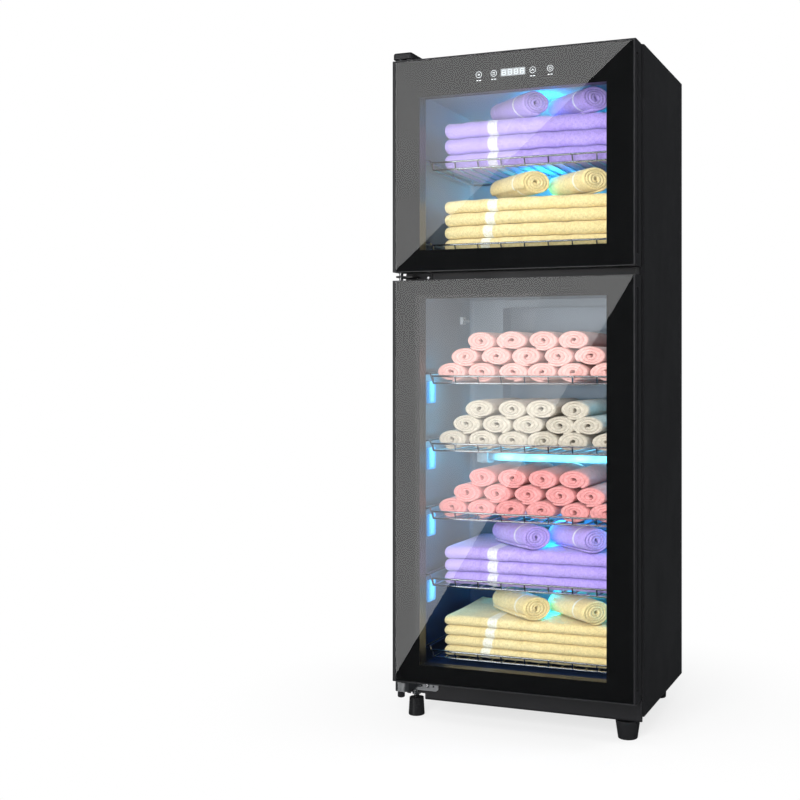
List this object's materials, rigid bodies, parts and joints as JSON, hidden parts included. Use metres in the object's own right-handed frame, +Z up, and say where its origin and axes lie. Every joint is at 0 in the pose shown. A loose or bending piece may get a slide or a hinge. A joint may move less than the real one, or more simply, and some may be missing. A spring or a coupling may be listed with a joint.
{
  "type": "hot towel cabinet",
  "caption": "Black upright hot towel cabinet with two hinged glass doors, wire trays of towels, ultraviolet tubes and side lamps.",
  "frame": {"origin": "on the floor, under the middle of the whole cabinet's box", "axes": "+Z up; -Y towards the person in front of the doors; +X to that person's right"},
  "size_m": [0.48, 0.407, 1.289],
  "materials": {
    "black_sheet": "matt",
    "black_moulding": "satin",
    "door_glass": "clear, with a black printed border",
    "liner_wall": "satin",
    "foam": "rough",
    "chrome_wire": "plated",
    "plated_steel": "zinc plated",
    "bright_screw": "plated",
    "white_moulding": "gloss",
    "seal_rubber": "matt",
    "uv_glass": "lit",
    "led_potting": "lit",
    "circuit_board": "solder mask",
    "display_face": "lit",
    "duct_sheet": "satin",
    "heater_sheath": "heat tinted",
    "lavender_terry": "terry",
    "cream_terry": "terry",
    "pink_terry": "terry",
    "beige_terry": "terry",
    "rose_terry": "terry"
  },
  "bodies": {
    "cabinet": {"left_side_panel": "black_sheet", "right_side_panel": "black_sheet", "top_panel": "black_sheet", "back_panel": "black_sheet", "rear_cover": "black_sheet", "base_pan": "black_sheet", "foot_sockets": "plated_steel", "plinth_strip": "black_moulding", "upper_liner": "liner_wall", "lower_liner": "liner_wall", "mullion": "black_moulding", "insulation": "foam", "tray_ledges": "liner_wall", "air_duct": "duct_sheet", "fan_housing": "black_moulding", "heating_element": "heater_sheath", "thermal_cutout": "plated_steel", "temperature_sensor": "white_moulding", "lamp_holders": "white_moulding", "uv_tubes": "uv_glass", "lamp_ballasts": "white_moulding", "led_modules": "led_potting", "control_board": "circuit_board", "power_inlet": "black_moulding", "cover_screws": "bright_screw", "top_hinge_plate": "plated_steel", "top_hinge_pin": "bright_screw", "top_hinge_cover": "black_moulding", "middle_hinge_bracket": "black_sheet", "middle_hinge_pin": "bright_screw", "bottom_hinge_bracket": "plated_steel", "bottom_hinge_pin": "bright_screw", "bottom_pin_nut": "black_moulding", "hinge_screws": "bright_screw", "rear_feet": "black_moulding"},
    "upper_door": {"upper_door_glass": "door_glass", "upper_door_frame": "black_moulding", "upper_door_gasket": "seal_rubber", "touch_board": "circuit_board", "digit_display": "display_face"},
    "lower_door": {"lower_door_glass": "door_glass", "lower_door_frame": "black_moulding", "lower_door_gasket": "seal_rubber"},
    "fan": {"fan_rotor": "black_moulding"},
    "left_levelling_foot": {"front_left_foot": "black_moulding"},
    "right_levelling_foot": {"front_right_foot": "black_moulding"},
    "upper_tray_1_slide": {"upper_tray_1": "chrome_wire", "towels_upper_tray_1": "lavender_terry"},
    "upper_tray_2_slide": {"upper_tray_2": "chrome_wire", "towels_upper_tray_2": "cream_terry"},
    "lower_tray_1_slide": {"lower_tray_1": "chrome_wire", "towels_lower_tray_1": "pink_terry"},
    "lower_tray_2_slide": {"lower_tray_2": "chrome_wire", "towels_lower_tray_2": "beige_terry"},
    "lower_tray_3_slide": {"lower_tray_3": "chrome_wire", "towels_lower_tray_3": "rose_terry"},
    "lower_tray_4_slide": {"lower_tray_4": "chrome_wire", "towels_lower_tray_4": "lavender_terry"},
    "lower_tray_5_slide": {"lower_tray_5": "chrome_wire", "towels_lower_tray_5": "cream_terry"}
  },
  "joints": [
    {"name": "upper_door_hinge", "type": "hinge", "parent": "cabinet", "child": "upper_door", "pos_m": [-0.229, -0.1855, 1.069], "axis": [0, 0, -1], "range_deg": [0, 115]},
    {"name": "lower_door_hinge", "type": "hinge", "parent": "cabinet", "child": "lower_door", "pos_m": [-0.229, -0.1855, 0.466], "axis": [0, 0, -1], "range_deg": [0, 115]},
    {"name": "upper_tray_1_slides", "type": "slide", "parent": "cabinet", "child": "upper_tray_1_slide", "axis": [0, -1, 0], "range_m": [0, 0.03]},
    {"name": "upper_tray_2_slides", "type": "slide", "parent": "cabinet", "child": "upper_tray_2_slide", "axis": [0, -1, 0], "range_m": [0, 0.03]},
    {"name": "lower_tray_1_slides", "type": "slide", "parent": "cabinet", "child": "lower_tray_1_slide", "axis": [0, -1, 0], "range_m": [0, 0.03]},
    {"name": "lower_tray_2_slides", "type": "slide", "parent": "cabinet", "child": "lower_tray_2_slide", "axis": [0, -1, 0], "range_m": [0, 0.03]},
    {"name": "lower_tray_3_slides", "type": "slide", "parent": "cabinet", "child": "lower_tray_3_slide", "axis": [0, -1, 0], "range_m": [0, 0.03]},
    {"name": "lower_tray_4_slides", "type": "slide", "parent": "cabinet", "child": "lower_tray_4_slide", "axis": [0, -1, 0], "range_m": [0, 0.03]},
    {"name": "lower_tray_5_slides", "type": "slide", "parent": "cabinet", "child": "lower_tray_5_slide", "axis": [0, -1, 0], "range_m": [0, 0.03]},
    {"name": "left_foot_height", "type": "slide", "parent": "cabinet", "child": "left_levelling_foot", "axis": [0, 0, 1], "range_m": [-0.012, 0]},
    {"name": "right_foot_height", "type": "slide", "parent": "cabinet", "child": "right_levelling_foot", "axis": [0, 0, 1], "range_m": [-0.012, 0]},
    {"name": "fan_spin", "type": "hinge", "parent": "cabinet", "child": "fan", "pos_m": [0, 0.1585, 0.25], "axis": [0, 1, 0], "continuous": true}
  ]
}
